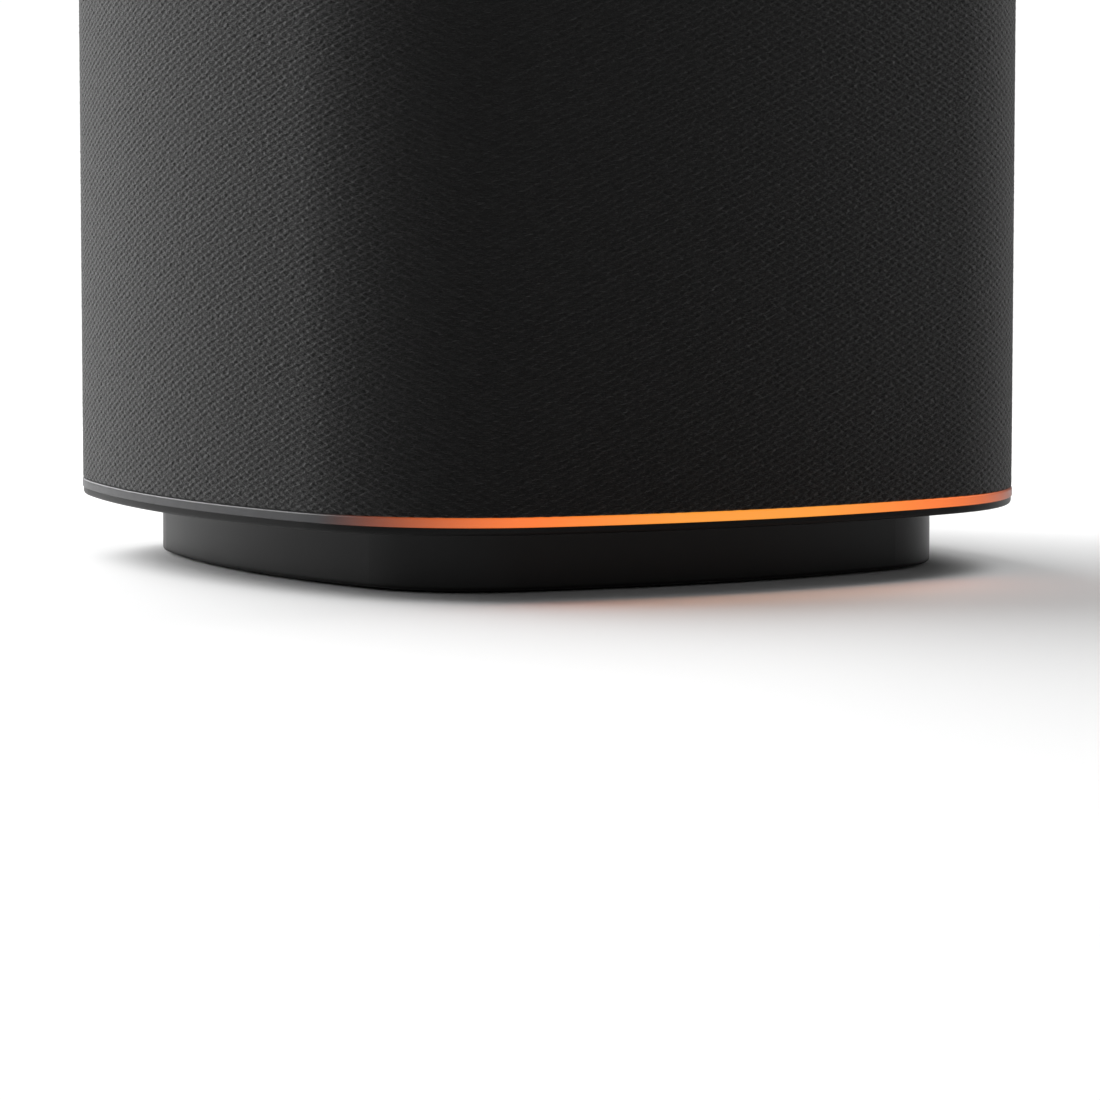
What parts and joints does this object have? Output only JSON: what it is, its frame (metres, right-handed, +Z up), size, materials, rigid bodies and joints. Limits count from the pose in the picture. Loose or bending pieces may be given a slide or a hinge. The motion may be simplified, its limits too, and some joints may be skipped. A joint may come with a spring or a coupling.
{
  "type": "smart home hub",
  "caption": "Fabric-wrapped table-top smart home hub with a round-cornered square body, an edge-lit light strip round its foot and a set-back plinth on rubber feet.",
  "frame": {"origin": "on the floor under the middle of the plan, at the bottom of the rubber feet", "axes": "+Z up, front faces -Y (the lit side), +X to the right seen from the front"},
  "size_m": [0.12, 0.12, 0.16],
  "materials": {
    "knit_fabric": "black acoustic cloth, fine staggered open weave",
    "black_abs": "moulded black ABS",
    "opal_light_guide": "smoked opal acrylic, edge lit orange along the front",
    "board_green": "green solder mask",
    "emitter": "emitter package",
    "plinth_plastic": "fine moulded texture",
    "foot_rubber": "moulded silicone rubber",
    "screw_steel": "zinc plated",
    "zinc_steel": "zinc plated",
    "inlet_steel": "drawn stainless shell",
    "lead_insulation": "PVC insulation",
    "tin_plate": "pressed tin plate",
    "heat_sink_aluminium": "extruded, clear anodised",
    "chip_epoxy": "moulded epoxy",
    "capacitor_can": "sleeved can",
    "box_abs": "moulded ABS",
    "basket_steel": "black enamelled pressed steel",
    "ferrite": "sintered ferrite",
    "cone_paper": "pressed paper pulp",
    "copper_coil": "enamelled copper wire",
    "roll_rubber": "moulded butyl roll",
    "spider_cloth": "resin dipped cotton",
    "dome_silk": "coated silk",
    "radiator_aluminium": "black anodised",
    "panel_plastic": "spark eroded matt texture",
    "button_plastic": "soft touch coated",
    "plunger_plastic": "natural nylon",
    "flex_polyimide": "polyimide film"
  },
  "bodies": {
    "case": {"amplifier_chips": "chip_epoxy", "antennas": "board_green", "baffle_screws": "screw_steel", "ballast_plate": "zinc_steel", "board_capacitors": "capacitor_can", "control_board": "board_green", "control_board_screws": "screw_steel", "control_flex": "flex_polyimide", "fabric_sleeve": "knit_fabric", "foot_back_left": "foot_rubber", "foot_back_right": "foot_rubber", "foot_front_left": "foot_rubber", "foot_front_right": "foot_rubber", "front_baffle": "box_abs", "grille_shell": "black_abs", "heat_sink": "heat_sink_aluminium", "inlet_board": "board_green", "inlet_lead": "lead_insulation", "key_switches": "chip_epoxy", "light_board": "board_green", "light_emitters": "emitter", "light_guide": "opal_light_guide", "lower_tray": "black_abs", "main_board": "board_green", "main_board_screws": "screw_steel", "mic_gaskets": "foot_rubber", "microphones": "tin_plate", "plinth_screws": "screw_steel", "plinth_shell": "plinth_plastic", "power_inlet": "inlet_steel", "processor_shield": "tin_plate", "radiator_left_surround": "roll_rubber", "radiator_right_surround": "roll_rubber", "radio_module": "tin_plate", "speaker_tub": "box_abs", "top_panel": "panel_plastic", "tub_screws": "screw_steel", "tweeter_faceplate": "box_abs", "tweeter_motor": "zinc_steel", "woofer_basket": "basket_steel", "woofer_magnet": "ferrite", "woofer_screws": "screw_steel", "woofer_spider": "spider_cloth", "woofer_surround": "roll_rubber", "woofer_top_plate": "zinc_steel", "woofer_yoke": "zinc_steel"},
    "volume_up_key": {"volume_up_button": "button_plastic", "volume_up_plunger": "plunger_plastic"},
    "volume_down_key": {"volume_down_button": "button_plastic", "volume_down_plunger": "plunger_plastic"},
    "action_key": {"action_button": "button_plastic", "action_plunger": "plunger_plastic"},
    "mute_key": {"mute_button": "button_plastic", "mute_plunger": "plunger_plastic"},
    "woofer_moving_parts": {"woofer_cone": "cone_paper", "woofer_dust_cap": "cone_paper", "woofer_voice_coil": "copper_coil"},
    "tweeter_moving_parts": {"tweeter_dome": "dome_silk"},
    "radiator_left": {"radiator_left_plate": "radiator_aluminium"},
    "radiator_right": {"radiator_right_plate": "radiator_aluminium"}
  },
  "joints": [
    {"name": "volume_up_press", "type": "slide", "parent": "case", "child": "volume_up_key", "axis": [0, 0, -1], "range_m": [0, 0.0005], "stiffness_N_per_m": 2500, "springref_m": -0.0001},
    {"name": "volume_down_press", "type": "slide", "parent": "case", "child": "volume_down_key", "axis": [0, 0, -1], "range_m": [0, 0.0005], "stiffness_N_per_m": 2500, "springref_m": -0.0001},
    {"name": "action_press", "type": "slide", "parent": "case", "child": "action_key", "axis": [0, 0, -1], "range_m": [0, 0.0005], "stiffness_N_per_m": 2500, "springref_m": -0.0001},
    {"name": "mute_press", "type": "slide", "parent": "case", "child": "mute_key", "axis": [0, 0, -1], "range_m": [0, 0.0005], "stiffness_N_per_m": 2500, "springref_m": -0.0001},
    {"name": "woofer_travel", "type": "slide", "parent": "case", "child": "woofer_moving_parts", "axis": [0, -1, 0], "range_m": [-0.003, 0.003], "stiffness_N_per_m": 1500, "deforming": ["woofer_surround", "woofer_spider"]},
    {"name": "tweeter_travel", "type": "slide", "parent": "case", "child": "tweeter_moving_parts", "axis": [0, -1, 0], "range_m": [-0.0003, 0.0003], "stiffness_N_per_m": 3000},
    {"name": "radiator_left_travel", "type": "slide", "parent": "case", "child": "radiator_left", "axis": [-1, 0, 0], "range_m": [-0.003, 0.003], "stiffness_N_per_m": 1200, "deforming": ["radiator_left_surround"]},
    {"name": "radiator_right_travel", "type": "slide", "parent": "case", "child": "radiator_right", "axis": [1, 0, 0], "range_m": [-0.003, 0.003], "stiffness_N_per_m": 1200, "deforming": ["radiator_right_surround"]}
  ]
}
